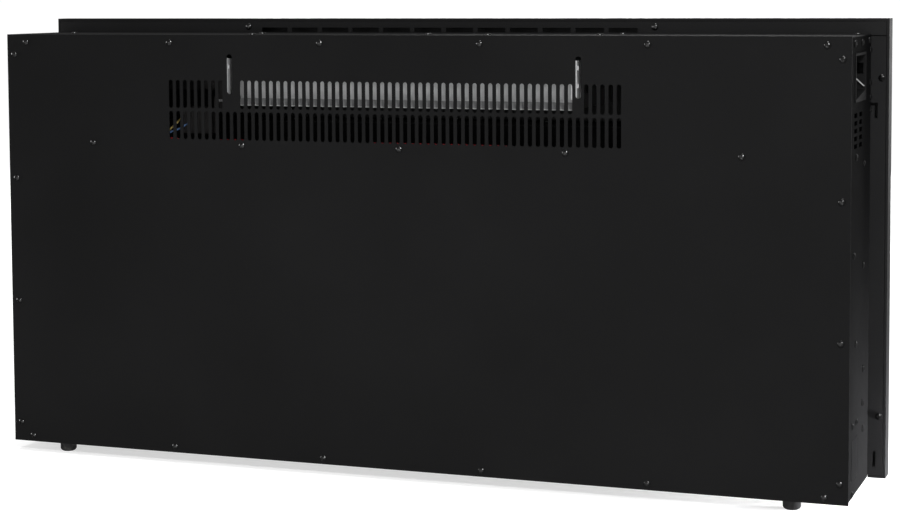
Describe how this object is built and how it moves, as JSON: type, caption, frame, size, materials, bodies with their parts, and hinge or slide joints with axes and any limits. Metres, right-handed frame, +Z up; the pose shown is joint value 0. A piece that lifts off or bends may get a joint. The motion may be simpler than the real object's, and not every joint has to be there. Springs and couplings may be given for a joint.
{
  "type": "electric fireplace",
  "caption": "Wide recessed electric fireplace: sheet-metal body with rear vents, front trim and glass, fan heater, turning flame spindle, ember bed and push-button controls.",
  "frame": {"origin": "bottom centre of the whole box, on the plane that the four rubber feet stand on", "axes": "+Z up, -Y towards the front (flame window), +X to the right seen from the front"},
  "size_m": [1.066, 0.1562, 0.538],
  "materials": {
    "panel_black": "satin black powder coat",
    "side_black": "satin black powder coat",
    "trim_black": "satin black powder coat",
    "firebox_black": "matt black paint",
    "galvanised": "galvanised sheet with a soft spangle",
    "galvanised_dull": "galvanised sheet, dulled by heat",
    "screw_black": "black zinc",
    "foot_rubber": "moulded rubber",
    "seal_rubber": "extruded silicone",
    "label_film": "blank printed film",
    "gland_plastic": "moulded nylon",
    "tinted_glass": "tempered, lightly tinted",
    "element_aluminium": "thin fins",
    "element_mica": "pressed mica board",
    "blower_plastic": "moulded fan wheel",
    "shaft_steel": "ground steel",
    "motor_steel": "lacquered laminations",
    "bearing_rubber": "bearing in a rubber bush",
    "cutout_plastic": "phenolic",
    "reset_red": "moulded",
    "screen_acrylic": "milky acrylic sheet",
    "tray_smoke": "smoked plastic",
    "crystal": "cut clear glass",
    "light_board": "white circuit strip",
    "flicker_foil": "reflective foil",
    "spindle_motor_steel": "plated can",
    "bearing_nylon": "nylon",
    "control_plastic": "moulded",
    "board_green": "circuit board",
    "button_plastic": "moulded",
    "rocker_plastic": "moulded",
    "terminal_ivory": "moulded",
    "wire_yellow": "PVC insulation",
    "wire_blue": "PVC insulation",
    "wire_red": "PVC insulation"
  },
  "bodies": {
    "body": {"back_panel": "panel_black", "top_panel": "panel_black", "bottom_pan": "panel_black", "left_side_panel": "side_black", "right_side_panel": "side_black", "wiring_pocket": "side_black", "cable_clamp_bar": "galvanised", "cable_gland": "gland_plastic", "gland_nut": "gland_plastic", "top_flange": "trim_black", "bottom_flange": "trim_black", "left_flange": "trim_black", "right_flange": "trim_black", "trim_frame": "trim_black", "trim_brackets": "galvanised", "front_glass": "tinted_glass", "glass_seal": "seal_rubber", "outlet_grille": "trim_black", "rubber_feet": "foot_rubber", "rating_label": "label_film", "heater_casing": "galvanised", "heater_duct_floor": "galvanised", "heater_end_plates": "galvanised_dull", "heating_element": "element_aluminium", "element_frame": "element_mica", "blower_motor": "motor_steel", "blower_bearing": "bearing_rubber", "thermal_cutout": "cutout_plastic", "hanging_brackets": "galvanised", "flame_screen": "screen_acrylic", "ember_tray": "tray_smoke", "ember_crystals": "crystal", "ember_light_strip": "light_board", "spindle_motor": "spindle_motor_steel", "spindle_bearing": "bearing_nylon", "flame_light_strip": "light_board", "firebox_top": "firebox_black", "firebox_left_wall": "firebox_black", "firebox_right_wall": "firebox_black", "control_housing": "control_plastic", "control_board": "board_green", "rocker_bezel": "control_plastic", "terminal_block": "terminal_ivory", "yellow_wire": "wire_yellow", "blue_wire": "wire_blue", "red_wire": "wire_red", "back_screws": "screw_black", "side_screws": "screw_black", "panel_top_screws": "screw_black", "flange_screws": "screw_black"},
    "blower": {"blower_wheel": "blower_plastic", "blower_shaft": "shaft_steel"},
    "flame_spindle": {"spindle_shaft": "shaft_steel", "spindle_flickers": "flicker_foil"},
    "power_key": {"power_button": "button_plastic"},
    "flame_key": {"flame_button": "button_plastic"},
    "heat_key": {"heat_button": "button_plastic"},
    "timer_key": {"timer_button": "button_plastic"},
    "rocker": {"power_rocker": "rocker_plastic"},
    "reset_pin": {"reset_button": "reset_red"}
  },
  "joints": [
    {"name": "blower_spin", "type": "hinge", "parent": "body", "child": "blower", "pos_m": [0.0074, 0.0357, 0.4655], "axis": [1, 0, 0], "continuous": true},
    {"name": "spindle_spin", "type": "hinge", "parent": "body", "child": "flame_spindle", "pos_m": [0, 0.0169, 0.072], "axis": [1, 0, 0], "continuous": true},
    {"name": "power_press", "type": "slide", "parent": "body", "child": "power_key", "axis": [0, 1, 0], "range_m": [0, 0.0012], "stiffness_N_per_m": 600},
    {"name": "flame_press", "type": "slide", "parent": "body", "child": "flame_key", "axis": [0, 1, 0], "range_m": [0, 0.0012], "stiffness_N_per_m": 600},
    {"name": "heat_press", "type": "slide", "parent": "body", "child": "heat_key", "axis": [0, 1, 0], "range_m": [0, 0.0012], "stiffness_N_per_m": 600},
    {"name": "timer_press", "type": "slide", "parent": "body", "child": "timer_key", "axis": [0, 1, 0], "range_m": [0, 0.0012], "stiffness_N_per_m": 600},
    {"name": "rocker_tilt", "type": "hinge", "parent": "body", "child": "rocker", "pos_m": [0.422, -0.0701, 0.4655], "axis": [0, 0, 1], "range_deg": [0, 16]},
    {"name": "reset_press", "type": "slide", "parent": "body", "child": "reset_pin", "axis": [0, 0, -1], "range_m": [0, 0.001], "stiffness_N_per_m": 500}
  ]
}
